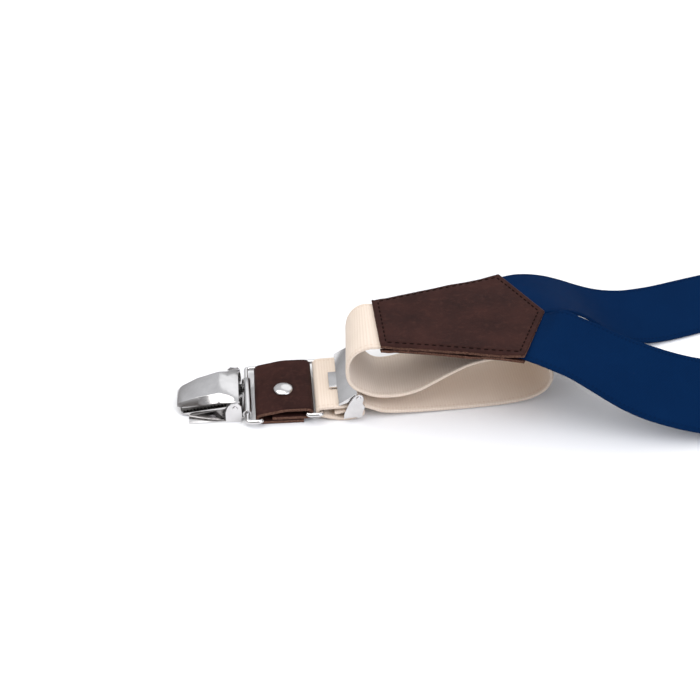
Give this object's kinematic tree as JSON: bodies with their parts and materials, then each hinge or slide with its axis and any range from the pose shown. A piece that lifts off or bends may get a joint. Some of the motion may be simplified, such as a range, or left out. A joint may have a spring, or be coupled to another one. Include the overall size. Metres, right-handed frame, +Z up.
{
  "type": "suspenders",
  "caption": "Y-back clip-on suspenders: elastic straps, leather junction, adjusters, rings, leather tabs and metal clips.",
  "frame": {"origin": "middle of the footprint, on the surface that the suspenders lie on", "axes": "+X from the rear clip towards the front clips, along the suspenders' length; +Z up from the surface"},
  "size_m": [0.7784, 0.3466, 0.0434],
  "materials": {
    "cream_elastic": "ribbed woven elastic",
    "navy_elastic": "fine woven elastic",
    "brown_leather": "waxed pull-up leather, rough cut edges",
    "nickel": "polished nickel plate",
    "nickel_wire": "polished nickel-plated wire"
  },
  "bodies": {
    "straps": {"rear_strap": "cream_elastic", "right_front_strap": "navy_elastic", "left_front_strap": "navy_elastic", "junction_front_leather": "brown_leather", "junction_back_leather": "brown_leather", "junction_filler": "brown_leather", "rear_adjuster_frame": "nickel", "rear_adjuster_pin": "nickel_wire", "right_adjuster_frame": "nickel", "right_adjuster_pin": "nickel_wire", "left_adjuster_frame": "nickel", "left_adjuster_pin": "nickel_wire"},
    "rear_adjuster_flap": {"rear_adjuster_flap": "nickel"},
    "rear_strap_ring": {"rear_strap_ring": "nickel_wire"},
    "rear_leather_tab": {"rear_leather_tab": "brown_leather", "rear_rivet": "nickel"},
    "rear_clip_ring": {"rear_clip_ring": "nickel_wire"},
    "rear_clip": {"rear_clip_base": "nickel", "rear_clip_jaw": "nickel", "rear_clip_pin": "nickel_wire"},
    "rear_clip_cover": {"rear_clip_cover": "nickel", "rear_clip_grip": "nickel"},
    "right_adjuster_flap": {"right_adjuster_flap": "nickel"},
    "right_strap_ring": {"right_strap_ring": "nickel_wire"},
    "right_leather_tab": {"right_leather_tab": "brown_leather", "right_rivet": "nickel"},
    "right_clip_ring": {"right_clip_ring": "nickel_wire"},
    "right_clip": {"right_clip_base": "nickel", "right_clip_jaw": "nickel", "right_clip_pin": "nickel_wire"},
    "right_clip_cover": {"right_clip_cover": "nickel", "right_clip_grip": "nickel"},
    "left_adjuster_flap": {"left_adjuster_flap": "nickel"},
    "left_strap_ring": {"left_strap_ring": "nickel_wire"},
    "left_leather_tab": {"left_leather_tab": "brown_leather", "left_rivet": "nickel"},
    "left_clip_ring": {"left_clip_ring": "nickel_wire"},
    "left_clip": {"left_clip_base": "nickel", "left_clip_jaw": "nickel", "left_clip_pin": "nickel_wire"},
    "left_clip_cover": {"left_clip_cover": "nickel", "left_clip_grip": "nickel"}
  },
  "joints": [
    {"name": "rear_strap_ring_swing", "type": "hinge", "parent": "straps", "child": "rear_strap_ring", "pos_m": [-0.32664, -0.11211, 0.005], "axis": [-0.0698, 0.9976, 0], "range_deg": [-45, 20]},
    {"name": "rear_tab_swing", "type": "hinge", "parent": "rear_strap_ring", "child": "rear_leather_tab", "pos_m": [-0.33302, -0.11256, 0.005], "axis": [-0.0698, 0.9976, 0], "range_deg": [-45, 25]},
    {"name": "rear_clip_ring_swing", "type": "hinge", "parent": "rear_leather_tab", "child": "rear_clip_ring", "pos_m": [-0.35247, -0.11392, 0.003], "axis": [-0.0698, 0.9976, 0], "range_deg": [-45, 20]},
    {"name": "rear_clip_swing", "type": "hinge", "parent": "rear_clip_ring", "child": "rear_clip", "pos_m": [-0.35886, -0.11436, 0.003], "axis": [-0.0698, 0.9976, 0], "range_deg": [-45, 25]},
    {"name": "rear_cover_open", "type": "hinge", "parent": "rear_clip", "child": "rear_clip_cover", "pos_m": [-0.36395, -0.11472, 0.0076], "axis": [-0.0698, 0.9976, 0], "range_deg": [0, 60]},
    {"name": "rear_flap_lift", "type": "hinge", "parent": "straps", "child": "rear_adjuster_flap", "pos_m": [-0.31107, -0.11102, 0.0132], "axis": [-0.0698, 0.9976, 0], "range_deg": [0, 60]},
    {"name": "right_strap_ring_swing", "type": "hinge", "parent": "straps", "child": "right_strap_ring", "pos_m": [0.32656, -0.15221, 0.005], "axis": [-0.0523, -0.9986, 0], "range_deg": [-45, 20]},
    {"name": "right_tab_swing", "type": "hinge", "parent": "right_strap_ring", "child": "right_leather_tab", "pos_m": [0.33295, -0.15254, 0.005], "axis": [-0.0523, -0.9986, 0], "range_deg": [-45, 25]},
    {"name": "right_clip_ring_swing", "type": "hinge", "parent": "right_leather_tab", "child": "right_clip_ring", "pos_m": [0.35243, -0.15356, 0.003], "axis": [-0.0523, -0.9986, 0], "range_deg": [-45, 20]},
    {"name": "right_clip_swing", "type": "hinge", "parent": "right_clip_ring", "child": "right_clip", "pos_m": [0.35882, -0.1539, 0.003], "axis": [-0.0523, -0.9986, 0], "range_deg": [-45, 25]},
    {"name": "right_cover_open", "type": "hinge", "parent": "right_clip", "child": "right_clip_cover", "pos_m": [0.36391, -0.15417, 0.0076], "axis": [-0.0523, -0.9986, 0], "range_deg": [0, 60]},
    {"name": "right_flap_lift", "type": "hinge", "parent": "straps", "child": "right_adjuster_flap", "pos_m": [0.31099, -0.15139, 0.0132], "axis": [-0.0523, -0.9986, 0], "range_deg": [0, 95]},
    {"name": "left_strap_ring_swing", "type": "hinge", "parent": "straps", "child": "left_strap_ring", "pos_m": [0.27656, 0.13789, 0.005], "axis": [0.3987, -0.9171, 0], "range_deg": [-45, 20]},
    {"name": "left_tab_swing", "type": "hinge", "parent": "left_strap_ring", "child": "left_leather_tab", "pos_m": [0.28243, 0.14044, 0.005], "axis": [0.3987, -0.9171, 0], "range_deg": [-45, 25]},
    {"name": "left_clip_ring_swing", "type": "hinge", "parent": "left_leather_tab", "child": "left_clip_ring", "pos_m": [0.30031, 0.14822, 0.003], "axis": [0.3987, -0.9171, 0], "range_deg": [-45, 20]},
    {"name": "left_clip_swing", "type": "hinge", "parent": "left_clip_ring", "child": "left_clip", "pos_m": [0.30618, 0.15077, 0.003], "axis": [0.3987, -0.9171, 0], "range_deg": [-45, 25]},
    {"name": "left_cover_open", "type": "hinge", "parent": "left_clip", "child": "left_clip_cover", "pos_m": [0.31086, 0.1528, 0.0076], "axis": [0.3987, -0.9171, 0], "range_deg": [0, 60]},
    {"name": "left_flap_lift", "type": "hinge", "parent": "straps", "child": "left_adjuster_flap", "pos_m": [0.26226, 0.13167, 0.0132], "axis": [0.3987, -0.9171, 0], "range_deg": [0, 95]}
  ]
}
